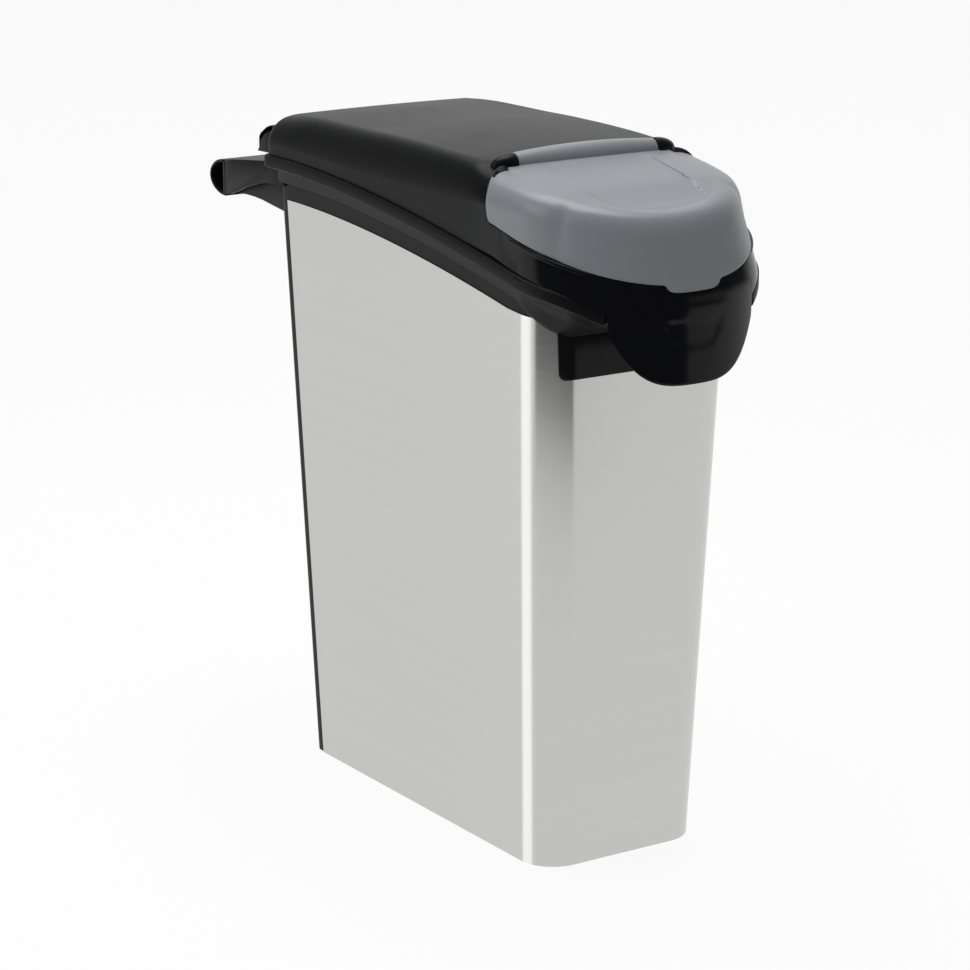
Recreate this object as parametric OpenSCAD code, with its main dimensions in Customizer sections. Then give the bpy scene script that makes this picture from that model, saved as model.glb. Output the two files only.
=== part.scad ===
// Slim food-storage bin: a tapered tub wrapped in steel sheet, with a rear carry handle, a hinged
// lid whose nose hangs over the tub's pouring lip, and a flip lid over the mouth in that nose.
// Front is -Y, up is +Z, and the origin is on the floor under the middle of the tub.

/* [Tub] */
// Width of the foot, side to side
foot_w = 128.4; // [124:0.1:132]
// Length of the foot, front to back
foot_l = 291.4; // [289:0.1:294]
// Outward lean of each side wall, per mm of height
side_lean = 0.034; // [0.030:0.001:0.036]
// Outward lean of the front and rear walls, per mm of height
end_lean = 0.04; // [0.037:0.001:0.042]
// Radius of the front vertical corners
front_r = 25; // [20:1:28]
// Radius of the rear vertical corners
rear_r = 8; // [6:1:10]
// Moulded wall thickness
wall = 2.6; // [2:0.1:3]
// Thickness of the tub's floor
floor_t = 4; // [3:0.5:6]
// Height of the front apron's lower edge
apron_z = 329.5; // [325:0.5:335]
// Half width of the front apron
apron_half = 61.5; // [60:0.5:64]

/* [Steel wrap] */
// Thickness of the sheet
sheet = 0.6; // [0.4:0.1:0.8]
// Height of the sheet's top edge below the rim line
sheet_drop = 30.5; // [28:0.5:33]
// Distance from the rear wall to the sheet's rear edges
sheet_rear = 13; // [11:0.5:15]

/* [Rim] */
// Half width of the rim band
rim_w = 88; // [87:0.5:89]
// Y at which the straight sides turn into the round nose
nose_y = -144; // [-146:1:-142]
// Length of the nose from there to its tip
nose_l = 72; // [70:1:74]
// Y of the rim's rear edge
rim_rear = 168; // [167:0.5:169]
// Height of the rim line at the rear
rim_top = 430.5; // [429.5:0.5:431.5]
// Height of the band round the rim
band_h = 8.5; // [7.5:0.5:9.5]
// Height of the step under the band
step_h = 19; // [17:0.5:21]

/* [Lid] */
// Wall thickness of the lid and the flip lid
lid_wall = 2.6; // [2:0.1:3]
// Width of the rounding from the side wall to the top
round_w = 18; // [17:0.5:20]
// Height of the nose shield's lowest point
shield_z = 331.5; // [329:0.5:335]

/* [Flip lid] */
// Y of the flip lid's hinge axis
flip_y = -94.4; // [-95:0.1:-94]
// Height of the flip lid's hinge axis
flip_z = 456.5; // [456:0.1:457]
// Radius of the hinge barrel at its ends
barrel_r = 7; // [6.6:0.1:7.4]
// How much the barrel swells in the middle
barrel_crown = 2.5; // [1:0.5:3]
// Half length of the hinge barrel
barrel_half = 54.2; // [52:0.2:55]
// Half width of the lip at the front
lip_half = 22; // [20:1:24]
// Gap along the parting line of the two lids
parting = 0.5; // [0.4:0.1:0.7]

/* [Hinges] */
// Y of the main hinge axis
hinge_y = 174.5; // [174.3:0.1:174.7]
// Height of the main hinge axis
hinge_z = 438; // [437.8:0.1:438.4]
// Radius of the main hinge pins
hinge_pin_r = 2.5; // [2.2:0.1:2.8]
// Radius of the flip lid's hinge pins
flip_pin_r = 2; // [1.8:0.1:2.2]
// Radial running clearance of a pin in its bore
run_gap = 0.08; // [0.05:0.01:0.1]

/* [Handle] */
// Y of the grip's flat inner face
grip_y = 232.5; // [230:0.5:235]
// Depth of the grip
grip_d = 23.5; // [22:0.5:25]
// Height of the grip's top
grip_top = 416.5; // [415.5:0.5:417.5]
// Height of the grip
grip_h = 26; // [24:0.5:28]

/* [Hidden] */
far = 300;              // reach of a cut that must pass right through
black = [0.1, 0.1, 0.11];
grey = [0.5, 0.52, 0.54];
steel = [0.78, 0.78, 0.77];
rubber = [0.2, 0.2, 0.2];
fall = 0.0022;          // the rim line falls towards the front by fall * run ^ fall_power
fall_power = 1.7;
fall_start = 140;       // from this Y on
droop = 0.009;          // and the band dips further round the nose
droop_start = -170;
lip_in = 5.6;           // the tub's pouring lip lies this far inside the shield's face
flange_in = 12.5;       // inner edge of the rim's flange
arm_x = 79.7;           // outer face of the handle's arms
web_x = 70;             // outer face of the webs under the handle
gasket_in = 7;          // the lid's gasket lies this far inside the rim's edge
gasket_w = 3.5;
gasket_h = 3;
pull_deep = 2.2;        // depth of the finger pull
seat_gap = 0.35;        // clearance between a closed lid and what it rests over
mouth_w = 58;           // half width of the pouring mouth
mouth_rear = -122;      // Y of the mouth's rear edge
mouth_tip = -190;       // and of its front
collar_t = 2;           // thickness of the collar round the mouth
collar_h = 5;           // and its height over the deck
deck_t = 2.4;           // thickness of the deck under the flip lid
deck_drop = 1.5;        // depth of the deck under the parting line
ear_in = 56;            // inner face of a hinge ear on the tub
ear_out = 69;           // and its outer face
ear_r = 5.5;
hood_half = 80;         // half width of the hood over the hinge
hood_r = 8.6;           // radius of the hood's knuckles
mid = lid_wall / 2;     // what joins a shell from inside ends half way through it

// ---- columns of every shell: the left half of a plan outline, from the rear to the tip ----
corner_a = [90, 112.5, 135, 157.5, 180];
side_y = [125, 95, 65, 38, 12, -16, -46, -76, -92, -106, -126, -135];
nose_a = [0, 12, 24, 36, 44, 47.4, 48.4, 50.1, 51.2, 58, 66, 74.9, 75.8, 78.5, 82, 88.5];
corner_n = 5;
cut_col = 14;           // the column at the flip lid's rear edge
nose_col = 17;
band_end = 22;          // last column with a band: the shield starts three columns on
shield_col = 25;
lip_col = 29;           // first column of the flip lid's lip
half_n = 33;
cols = [0:half_n - 1];
corner_r = 8;
nose_tip = nose_y - nose_l;

// Point of column k on the rim's outline moved in by d
function rim_pt(k, d) = let (w = rim_w - d, r = max(corner_r - d / 2, 2), back = rim_rear - min(d, 34))
    k < corner_n ? [-(w - r) + r * cos(corner_a[k]), back - r + r * sin(corner_a[k])]
    : k < nose_col ? [-w, side_y[k - corner_n]]
    : [-w * cos(nose_a[k - nose_col]), nose_y - nose_l * w / rim_w * sin(nose_a[k - nose_col])];
// The same column on the tub's outline at height z, moved out by grow
function tub_w(z) = foot_w / 2 + side_lean * z;
function tub_l(z) = foot_l / 2 + end_lean * z;
turn = 0.55;            // share of the nose columns that go round the tub's front corner
function tub_pt(k, z, grow) = let (
    w = tub_w(z) + grow, l = tub_l(z) + grow, rr = rear_r + grow, rf = front_r + grow
) k < corner_n ? [-(w - rr) + rr * cos(corner_a[k]), l - rr + rr * sin(corner_a[k])]
    : k < nose_col ? let (y = side_y[k - corner_n]) [-w, y * (y < 0 ? (l - rf) / -nose_y : (l - rr) / (rim_rear - corner_r))]
    : let (f = nose_a[k - nose_col] / 90)
        f < turn ? [-(w - rf) - rf * cos(90 * f / turn), -(l - rf) - rf * sin(90 * f / turn)]
        : [-(w - rf) * (1 - (f - turn) / (1 - turn)), -l];
function up(p, z) = [p[0], p[1], z];
function blend(p, q, t) = p + (q - p) * t;
function whole(half) = concat(half, [for (i = [len(half) - 1:-1:0]) concat([-half[i][0]], [for (c = [1:len(half[i]) - 1]) half[i][c]])]);
function outline(d) = whole([for (k = cols) rim_pt(k, d)]);

// Closed skin over rings of equal count, from the lowest to the last, each the same left and right
module loft(halves, flat_ends = true) {
    rings = [for (h = halves) whole(h)];
    n = len(rings[0]);
    top = (len(rings) - 1) * n;
    polyhedron([for (r = rings) each r], concat(
        flat_ends ? [[for (i = [0:n - 1]) i], [for (i = [n - 1:-1:0]) top + i]]
        : concat([for (i = [0:n / 2 - 2]) each [[i, i + 1, n - 2 - i], [i, n - 2 - i, n - 1 - i]]],
            [for (i = [0:n / 2 - 2]) each
                [[top + i, top + n - 2 - i, top + i + 1], [top + i, top + n - 1 - i, top + n - 2 - i]]]),
        [for (k = [0:len(rings) - 2], i = [0:n - 1]) let (a = k * n + i, b = k * n + (i + 1) % n)
            each [[a, a + n, b + n], [a, b + n, b]]]
    ));
}

// ---- heights along the side ----
function line_z(y) = rim_top - fall * pow(max(0, fall_start - y), fall_power);
function rim_z(y) = line_z(y) - droop * pow(max(0, droop_start - y), 2);
function sheet_z(y) = line_z(y) - sheet_drop + 0.1 * max(0, -122 - y);
line_y = [for (y = [172:-8:-220]) y];

// Solid right across the width, given its side view
module side_solid(pts, half = far) {
    rotate([90, 0, 90]) linear_extrude(2 * half, center = true) polygon(pts);
}
// The same between two offsets from the rim line
module side_strip(low, high) {
    side_solid(concat([for (y = line_y) [y, line_z(y) + low]],
        [for (i = [len(line_y) - 1:-1:0]) [line_y[i], line_z(line_y[i]) + high]]));
}
// Solid from y0 back to y1, given its front view
module front_solid(pts, y0 = -far, y1 = -120) {
    translate([0, y1, 0]) rotate([90, 0, 0]) linear_extrude(y1 - y0) polygon(pts);
}
module plan_solid(pts, z0 = 300, z1 = 480) {
    translate([0, 0, z0]) linear_extrude(z1 - z0) polygon(pts);
}
module x_cylinder(r, x0, x1, y, z) {
    translate([x0, y, z]) rotate([0, 90, 0]) cylinder(r = r, h = x1 - x0, $fn = 48);
}

// ---- tub ----
// Tapered block with the tub's outline, moved out by grow
front_a = [for (a = [180:10:270]) a];
function taper_ring(z, grow) = let (
    w = tub_w(z) + grow, l = tub_l(z) + grow, rr = rear_r + grow, rf = front_r + grow
) whole(concat(
    [for (a = corner_a) [-(w - rr) + rr * cos(a), l - rr + rr * sin(a), z]],
    [for (a = front_a) [-(w - rf) + rf * cos(a), -(l - rf) + rf * sin(a), z]]
));
module taper(z0, z1, grow) {
    n = 2 * (corner_n + len(front_a));
    polyhedron(concat(taper_ring(z0, grow), taper_ring(z1, grow)), concat(
        [[for (i = [0:n - 1]) i], [for (i = [n - 1:-1:0]) n + i]],
        [for (i = [0:n - 1]) let (b = (i + 1) % n) [i, i + n, b + n, b]]
    ));
}
function foot_ring(z, grow) = [for (k = cols) up(tub_pt(k, z, grow), z)];

// Ring of the tub's skin: heights and places at the sides, and in front where it sweeps into the nose
function frontness(k) = k < nose_col ? 0 : min(1, nose_a[k - nose_col] / 44);
function has_band(k) = k <= band_end;
function tub_ring(drop, front_z, grow, t, inset) = [for (k = cols) let (
    f = frontness(k), z = line_z(rim_pt(k, 0)[1]) * (1 - f) - drop * (1 - f) + front_z * f
) up(blend(tub_pt(k, z, grow), rim_pt(k, inset), t * f), z)];
function band_ring(drop, front_z) = [for (k = cols) let (y = rim_pt(k, 0)[1])
    has_band(k) ? up(rim_pt(k, 0), rim_z(y) - drop) : up(rim_pt(k, lip_in), front_z == 0 ? lip_top(k) : front_z)];
function lip_top(k) = let (y = rim_pt(k, 0)[1]) k <= band_end + 1 ? rim_z(y) : line_z(y);
function flange_ring(drop) = [for (k = cols) up(rim_pt(k, flange_in), line_z(rim_pt(k, 0)[1]) - drop)];
function seat_ring() = [for (k = cols) up(rim_pt(k, has_band(k) ? lip_in : lip_in + 0.8), lip_top(k))];
module tub_body() {
    outer = -sheet - 0.3;
    inner = outer - wall;
    loft([
        foot_ring(0, outer),
        tub_ring(step_h + 0.3, 357, outer, 0, lip_in),
        tub_ring(step_h, 363, 2, 0.3, lip_in),
        tub_ring(band_h + 0.3, 369, 2, 0.75, lip_in),
        band_ring(band_h, 374),
        band_ring(0, 0),
        seat_ring(),
        flange_ring(0),
        flange_ring(3),
        tub_ring(6, 375.5, inner, 1, lip_in + wall + 0.4),
        tub_ring(12, 371.5, inner, 0.75, lip_in + wall),
        tub_ring(20, 366, inner, 0.3, lip_in + wall),
        tub_ring(24, 360, inner, 0, lip_in + wall),
        foot_ring(floor_t, inner)
    ]);
}

// Outline of the apron over the front, with round lower corners
function apron_pts(grow) = let (
    r = 4, top = 366, w = apron_half + grow,
    half = concat([[-w - 0.17 * (top - apron_z), top]],
        [for (a = [180:22.5:270]) [-w + r + r * cos(a), apron_z - grow + r + r * sin(a)]])
) concat(half, [for (i = [len(half) - 1:-1:0]) [-half[i][0], half[i][1]]]);
module apron() {
    intersection() {
        difference() {
            taper(apron_z - 5, 368, 1.2);
            taper(apron_z - 6, 370, -wall / 2 - 0.5);
        }
        front_solid(apron_pts(0), -far, -130);
    }
}

// Rear handle: arms, webs, a plate with a hand hole, and a hollow D-shaped grip
grip_mid = grip_top - grip_h / 2;
function grip_pts(inset) = let (rz = grip_h / 2 - inset, y0 = grip_y + inset, ry = grip_d - 2 * inset - 2)
    concat([[y0, grip_mid + rz], [y0, grip_mid - rz]],
        [for (a = [-90:12:90]) [y0 + 2 + max(0, ry * cos(a)), grip_mid + rz * sin(a)]]);
arm_top = [[161, 425], [165, 425], [180, 423.2], [grip_y + wall / 2, grip_top - 0.3]];
arm_low = [[grip_y + wall / 2, 391.5], [215, 396.8], [205, 400.8], [194, 403.8], [184, 406.6], [174, 408.3]];
web_low = [[grip_y + wall / 2, 391.5], [208, 392.6], [187, 390.7], [168, 388.5], [159.4, 387]];
module handle() {
    for (s = [-1, 1]) {
        translate([s * (arm_x - wall / 2), 0, 0])
            side_solid(concat([[150, 422]], arm_top, arm_low, [[150, 410]]), wall / 2);
        translate([s * (web_x - wall / 2), 0, 0]) side_solid(concat(arm_top, web_low), wall / 2);
    }
    difference() {
        side_solid(concat(arm_top, [for (i = [3:-1:0]) arm_top[i] - [0, wall]]), arm_x - 0.5);
        hand_hole();
    }
    rotate([90, 0, 90]) linear_extrude(2 * arm_x + 1, center = true) difference() {
        polygon(grip_pts(0));
        polygon(grip_pts(wall));
    }
}
module hand_hole() {
    y0 = 192;
    y1 = grip_y - 4;
    r = (y1 - y0) / 2;
    translate([0, 0, 400]) linear_extrude(60) union() {
        for (s = [-1, 1]) translate([s * 34, y0 + r]) circle(r = r, $fn = 32);
        translate([-34, y0]) square([68, 2 * r]);
    }
}
module ears() {
    for (s = [-1, 1]) {
        x0 = s > 0 ? ear_in : -ear_out;
        x_cylinder(ear_r, x0, x0 + ear_out - ear_in, hinge_y, hinge_z);
        translate([x0, hinge_y - 4.5, 422]) cube([ear_out - ear_in, 9, hinge_z - 422]);
    }
}
module tub() {
    color(black) difference() {
        union() {
            tub_body();
            apron();
            handle();
            ears();
        }
        for (s = [-1, 1]) {
            x0 = s > 0 ? ear_in - 1 : -ear_out - 1;
            x_cylinder(hinge_pin_r + run_gap, x0, x0 + ear_out - ear_in + 2, hinge_y, hinge_z);
        }
    }
}

module steel_wrap() {
    color(steel) difference() {
        taper(0.6, 420, 0);
        taper(-1, 430, -sheet);
        side_solid([
            [tub_l(0) - sheet_rear, -2], [far, -2], [far, 460], [tub_l(460) - sheet_rear, 460]
        ]);
        side_solid(concat([for (y = line_y) [y, sheet_z(y)]], [[-220, 500], [172, 500]]));
        front_solid(apron_pts(0.3), -far, -130);
        translate([-apron_half - 7, -far, 362]) cube([2 * apron_half + 14, far - 140, 99]);
        translate([-rim_w, -far, 363.4]) cube([2 * rim_w, far - 145.5, 99]);
    }
}

// ---- dome shared by the two lids ----
// Guide heights along Y: edge of the top face, shoulder of the side wall, crown along the middle
crest = [[-202, 430], [-190, 435.5], [-177, 439.8], [-151, 446.8], [-130, 450.8], [-108, 454.7], [-100, 456],
    [-84, 458.6], [-73, 459.7], [-44, 460.8], [-8, 461.6], [22, 461.7], [54, 461.2], [100, 460.9], [141, 459.5]];
shoulder = [[-216, 423], [-195, 428], [-175, 432], [-140, 435], [-110, 436], [12, 436], [125, 438], [165, 439]];
crown = [[-190, 0.6], [-151, 1.7], [-8, 1.9], [54, 1.8], [100, 1.4], [141, 0.8]];
// Inset of the side wall, its inward lean up to the shoulder, and fullness of the rounding
side_in = [[-216, 0], [-185, 0], [-150, 1.6], [-110, 2.4], [165, 2.4]];
lean = [[-216, 13], [-176, 13], [-164, 9.5], [-147, 5], [-130, 1.8], [-118, 0.6], [165, 0.3]];
full = [[-216, 0.35], [-144, 0.45], [-110, 0.75], [-76, 1], [110, 1], [150, 0.5], [165, 0.45]];
lean_z = 388;           // the wall is upright below this height
cut_edge = [[424, -118.5], [427.5, -112.5], [432, -111], [438, -110], [445, -109], [451, -106], [456.5, -102]];
cut_row = 2;
last_row = 10;
rows = [0:last_row];
function shield_low(x) = shield_z + 38 * pow(abs(x) / 56.5, 3.6);
function part_z(y) = let (t = -122 - y) 424 - 0.16 * t - 0.00125 * t * t;
function top_z(x, y) = lookup(y, crest) + lookup(y, crown) * (1 - pow(x / (rim_w - round_w), 2));

// Height of the parting line, which dips for the lip
lip_z = 392.2;
function cut_z(k, gap) = let (y = rim_pt(k, 0)[1], low = line_z(y))
    k < cut_col ? low + 0.6 * (lookup(y, shoulder) - low)
    : k == cut_col ? 424 - gap
    : k >= lip_col ? lip_z + 5 * pow(abs(rim_pt(k, 0)[0]) / lip_half, 6) - gap : part_z(y) - gap;
function low_z(k) = let (p = rim_pt(k, 0)) k >= shield_col ? shield_low(p[0]) : rim_z(p[1]) + seat_gap + 0.05;

// How far the wall's face lies inside the rim's edge at height z
function wall_in(y, z) = lookup(y, side_in) + lookup(y, lean) * max(0, z - lean_z) / (lookup(y, shoulder) - lean_z);
// Column k of the dome, from its lower edge to the spine, with skin taken off its face
function dome_col(k, skin, gap, low = 0) = let (
    y0 = rim_pt(k, 0)[1],
    d0 = lookup(y0, side_in) + skin,
    dl = d0 + lookup(y0, lean),
    dc = round_w + skin,
    yc = rim_pt(k, dc)[1],
    sh = lookup(y0, shoulder),
    cr = lookup(k == cut_col ? -104 : yc, crest) - skin,
    zb = low_z(k) + low,
    zp = cut_z(k, gap),
    wall_z = [zb, max(lean_z, (zb + zp) / 2), zp, (zp + sh) / 2, sh],
    bulge = lookup(y0, full)
) [for (j = rows) let (
    a = 22.5 * (j - 4),
    t = (j - 8) * 0.46,
    d = j < 5 ? d0 + (dl - d0) * max(0, (wall_z[j] - lean_z) / (sh - lean_z))
        : j < 9 ? dl + (dc - dl) * (1 - cos(a)) : dc + (rim_w - 4 - dc) * t,
    p = rim_pt(k, d),
    z = j < 5 ? wall_z[j]
        : j < 9 ? sh + (cr - sh) * (bulge * sin(a) + (1 - bulge) * (1 - cos(a)))
        : top_z(p[0], k == cut_col ? -104 : p[1]) - skin,
    y = k == cut_col ? (j < cut_row ? -118.5 : lookup(z + skin * 0.6, cut_edge)) + (j >= cut_row ? 2 * gap : 0) : p[1]
) [p[0], y, z]];

// Which cells of the dome a lid has: c is the cell's left-hand column, counted from the rear
function in_lid(c, j, flip) = flip ? c >= cut_col && j >= cut_row : c < cut_col || j < cut_row;

// Closed shell over those cells
module dome_shell(flip, gap) {
    n = 2 * half_n;
    m = last_row + 1;
    outer = [for (k = cols) dome_col(k, 0, gap)];
    inner = [for (k = cols) dome_col(k, lid_wall, gap)];
    all = concat(outer, [for (k = [half_n - 1:-1:0]) [for (p = outer[k]) [-p[0], p[1], p[2]]]],
        inner, [for (k = [half_n - 1:-1:0]) [for (p = inner[k]) [-p[0], p[1], p[2]]]]);
    function id(i, j) = (i + n) % n * m + j;
    function cell(i) = let (q = (i + n) % n) q == n - 1 ? -1 : q < half_n ? q : n - 2 - q;
    function has(i, j) = j >= 0 && in_lid(cell(i), j, flip);
    function cap(i) = i >= 0 && i < half_n - 1 && in_lid(i, last_row, flip);
    function skin(a, b, c) = [[a, b, c], [a + n * m, c + n * m, b + n * m]];
    function edge(a, b) = [[a, b, b + n * m], [a, b + n * m, a + n * m]];
    polyhedron([for (c = all) each c], concat(
        [for (i = [0:n - 1], j = [0:last_row - 1]) if (has(i, j)) let (
            a = id(i, j), b = id(i + 1, j), c = id(i, j + 1), d = id(i + 1, j + 1)
        ) each concat(skin(a, c, d), skin(a, d, b),
            has(i, j - 1) ? [] : edge(a, b),
            j == last_row - 1 || has(i, j + 1) ? [] : edge(d, c),
            has(i - 1, j) ? [] : edge(c, a),
            has(i + 1, j) ? [] : edge(b, d))],
        [for (i = [0:half_n - 2]) if (cap(i)) let (
            a = id(i, last_row), b = id(i + 1, last_row), c = id(n - 2 - i, last_row), d = id(n - 1 - i, last_row)
        ) each concat(skin(a, c, b), skin(a, d, c),
            i == 0 || cap(i - 1) ? [] : edge(d, a),
            i == half_n - 2 || cap(i + 1) ? [] : edge(b, c))]
    ));
}

// Front view of the dome at column k, down to height low
function section_pts(k, low) = let (c = dome_col(k, mid, 0), half = concat([[c[0][0], low]],
    [for (j = rows) if (c[j][2] > low + 1) [c[j][0], c[j][2]]]))
    concat(half, [for (i = [len(half) - 1:-1:0]) [-half[i][0], half[i][1]]]);

// ---- mouth in the lid's nose ----
function deck_y(k) = k == cut_col ? -101 : rim_pt(k, 0)[1];
function deck_half(drop) = [for (k = [cut_col:half_n - 1]) let (
    y = deck_y(k), z = part_z(min(y, -112)) - drop,
    p = rim_pt(k, wall_in(rim_pt(k, 0)[1], z) + mid + (k >= lip_col - 1 ? 2.6 : 0))
) [p[0], k == cut_col ? y : p[1], z]];
function mouth_pts(grow) = let (
    w = mouth_w + grow, l = nose_y - mouth_tip + grow, r = 14 + grow, back = mouth_rear + grow,
    half = concat(
        [for (a = [90:22.5:180]) [-(w - r) + r * cos(a), back - r + r * sin(a)]],
        [for (a = [0:11.25:80]) [-w * cos(a), nose_y - l * sin(a)]]
    )
) concat(half, [[0, nose_y - l]], [for (i = [len(half) - 1:-1:0]) [-half[i][0], half[i][1]]]);
cut_y = [for (y = [-112:-8:-216]) y];
// Ring round the mouth between two heights over the parting line
module mouth_ring(inner, outer, low, high) {
    intersection() {
        difference() {
            plan_solid(mouth_pts(outer));
            if (inner > -9) plan_solid(mouth_pts(inner), 290, 490);
        }
        side_solid(concat([for (y = cut_y) [y, part_z(y) + low]],
            [for (i = [len(cut_y) - 1:-1:0]) [cut_y[i], part_z(cut_y[i]) + high]]));
    }
}

// ---- lid ----
// Outline of the finger pull pressed into the shield
function pull_pts(grow) = let (half = [[-17 - grow, 373 + grow], [-22 - grow, 371 + grow], [-24 - grow, 366],
    [-23 - grow, 360], [-18.5 - grow, 355 - grow], [-11, 352 - grow]])
    concat(half, [for (i = [5:-1:0]) [-half[i][0], half[i][1]]]);
module seat_flange() {
    intersection() {
        difference() {
            plan_solid(whole([for (k = cols) let (y = rim_pt(k, 0)[1]) rim_pt(k, wall_in(y, line_z(y) + 6) + mid)]));
            plan_solid(outline(gasket_in + gasket_w + 1), 290, 490);
        }
        side_strip(seat_gap + gasket_h, seat_gap + gasket_h + 2);
    }
}
// Step behind the flip lid's lip, from the shield up to the deck
module lip_seat() {
    low = lip_z - parting - 2.9;
    difference() {
        intersection() {
            front_solid([[-24, low], [24, low], [24, 396.2], [-24, 396.2]], -220, -190);
            plan_solid(outline(mid + 0.3));
        }
        plan_solid(outline(9.6), 290, 490);
        intersection() {
            front_solid([[-30, low + 2.4], [30, low + 2.4], [30, 420], [-30, 420]], -220, -190);
            difference() {
                plan_solid(outline(-5), 310, 470);
                plan_solid(outline(7), 290, 490);
            }
        }
    }
}
module hood() {
    half = [[-hood_half, 432], [-hood_half, 442], [-77, 446], [-68, 449.5], [-50, 451.5], [-25, 452.5]];
    rear = dome_col(0, mid, 0);
    x_cylinder(hood_r, -hood_half, hood_half, hinge_y, hinge_z);
    intersection() {
        side_solid(concat([for (j = [1:6]) [rear[j][1], rear[j][2]]],
            [[165, 452], [173, 448], [180, 443], [hinge_y + hood_r, hinge_z], [174.5, rear[1][2]]]));
        front_solid(concat(half, [for (i = [5:-1:0]) [-half[i][0], half[i][1]]]), 150, 190);
    }
}
module hood_slots() {
    w = ear_out - ear_in + 1;
    for (s = [-1, 1]) {
        x0 = (s > 0 ? ear_in : -ear_out) - 0.5;
        x_cylinder(ear_r + 0.8, x0, x0 + w, hinge_y, hinge_z);
        translate([x0, hinge_y - 5.2, 420]) cube([w, 30, 25]);
        x_cylinder(hinge_pin_r, s > 0 ? ear_in - 3 : -hood_half + 2, s > 0 ? hood_half - 2 : -ear_in + 3, hinge_y, hinge_z);
    }
}
module barrel_shape(grow, half) {
    n = 4;
    translate([0, flip_y, flip_z]) rotate([0, 90, 0]) rotate_extrude($fn = 64) polygon(concat(
        [[0, -half], for (i = [-n:n]) let (f = i / n) [barrel_r + grow + barrel_crown * (1 - f * f), f * half]],
        [[0, half]]
    ));
}
module bosses() {
    for (s = [-1, 1]) {
        x_cylinder(barrel_r, s > 0 ? barrel_half + 0.4 : -62, s > 0 ? 62 : -barrel_half - 0.4, flip_y, flip_z);
        translate([s * 62, flip_y, flip_z]) sphere(r = barrel_r, $fn = 48);
    }
}
module lid() {
    color(black) difference() {
        union() {
            dome_shell(false, parting);
            seat_flange();
            lip_seat();
            loft([deck_half(deck_drop + deck_t), deck_half(deck_drop)], false);
            mouth_ring(-20, collar_t, -deck_drop - deck_t / 2, collar_h - deck_drop);
            front_solid(section_pts(cut_col, 422), -101, -98.5);
            hood();
            bosses();
            intersection() {
                front_solid(pull_pts(1.6), -220, nose_tip + pull_deep + 1.4);
                plan_solid(outline(mid));
            }
        }
        front_solid(pull_pts(0), -230, nose_tip + pull_deep);
        plan_solid(mouth_pts(0), 390, 440);
        hood_slots();
        barrel_shape(0.6, barrel_half + 0.4);
        translate([-barrel_half - 0.4, flip_y - 14, 451 - parting]) cube([2 * barrel_half + 0.8, 14, 60]);
        for (s = [-1, 1])
            x_cylinder(flip_pin_r + run_gap, s > 0 ? barrel_half : -63, s > 0 ? 63 : -barrel_half, flip_y, flip_z);
    }
}

// ---- flip lid ----
module flip_lid() {
    color(grey) difference() {
        union() {
            dome_shell(true, 0);
            barrel_shape(0, barrel_half);
            rib();
        }
        for (s = [-1, 1])
            x_cylinder(flip_pin_r, s > 0 ? 48 : -barrel_half - 1, s > 0 ? barrel_half + 1 : -48, flip_y, flip_z);
    }
}
module rib() {
    low = collar_h - deck_drop + seat_gap + 2.5;
    intersection() {
        mouth_ring(0, collar_t, low, 60);
        side_solid(concat([for (y = cut_y) [y, lookup(y, crest) - mid]], [[-216, 380], [-112, 380]]));
    }
}

module lid_gasket() {
    color(rubber) intersection() {
        difference() {
            plan_solid(outline(gasket_in));
            plan_solid(outline(gasket_in + gasket_w), 290, 490);
        }
        side_strip(seat_gap, seat_gap + gasket_h);
    }
}
module spout_gasket() {
    color(rubber) mouth_ring(-1, collar_t + 1.5, collar_h - deck_drop + seat_gap, collar_h - deck_drop + seat_gap + 2.5);
}
module hinge_pin(side) {
    x0 = side > 0 ? ear_in - 2.5 : -hood_half + 2.5;
    color(steel) x_cylinder(hinge_pin_r, x0, x0 + hood_half - ear_in, hinge_y, hinge_z);
}
module flip_pin(side) {
    color(steel) x_cylinder(flip_pin_r, side > 0 ? 48 : -62.5, side > 0 ? 62.5 : -48, flip_y, flip_z);
}

tub();
steel_wrap();
lid();
flip_lid();
lid_gasket();
spout_gasket();
hinge_pin(-1);  // lid_hinge_pin_left
hinge_pin(1);  // lid_hinge_pin_right
flip_pin(-1);  // flip_hinge_pin_left
flip_pin(1);  // flip_hinge_pin_right
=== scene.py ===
"""A slim dry-food bin with a flip spout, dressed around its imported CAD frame."""

import math

import bmesh
import bpy
from bpy.props import FloatProperty, FloatVectorProperty, PointerProperty
from mathutils import Matrix, Vector


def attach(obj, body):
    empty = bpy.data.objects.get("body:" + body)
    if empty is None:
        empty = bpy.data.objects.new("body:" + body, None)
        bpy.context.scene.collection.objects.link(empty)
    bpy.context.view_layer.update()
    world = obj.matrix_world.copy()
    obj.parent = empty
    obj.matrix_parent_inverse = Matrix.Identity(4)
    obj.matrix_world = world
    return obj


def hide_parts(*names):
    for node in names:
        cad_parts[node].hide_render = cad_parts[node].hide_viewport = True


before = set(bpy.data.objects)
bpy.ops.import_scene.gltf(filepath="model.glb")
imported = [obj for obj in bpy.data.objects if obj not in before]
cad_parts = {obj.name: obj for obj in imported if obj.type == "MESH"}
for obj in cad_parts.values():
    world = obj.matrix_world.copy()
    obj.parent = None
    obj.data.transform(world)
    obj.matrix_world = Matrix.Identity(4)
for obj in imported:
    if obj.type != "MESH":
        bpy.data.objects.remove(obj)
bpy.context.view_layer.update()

bl_info = {
    "name": "Flip-spout bin",
    "version": (1, 0, 0),
    "blender": (4, 5, 0),
    "location": "View3D > Sidebar > Bin",
    "description": "Builds the looks of a steel-wrapped food bin with a hinged lid and a flip spout",
    "category": "Object",
}


def size(name, text, default):
    return FloatProperty(name=name, description=text, default=default, unit="LENGTH", precision=4)


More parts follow.
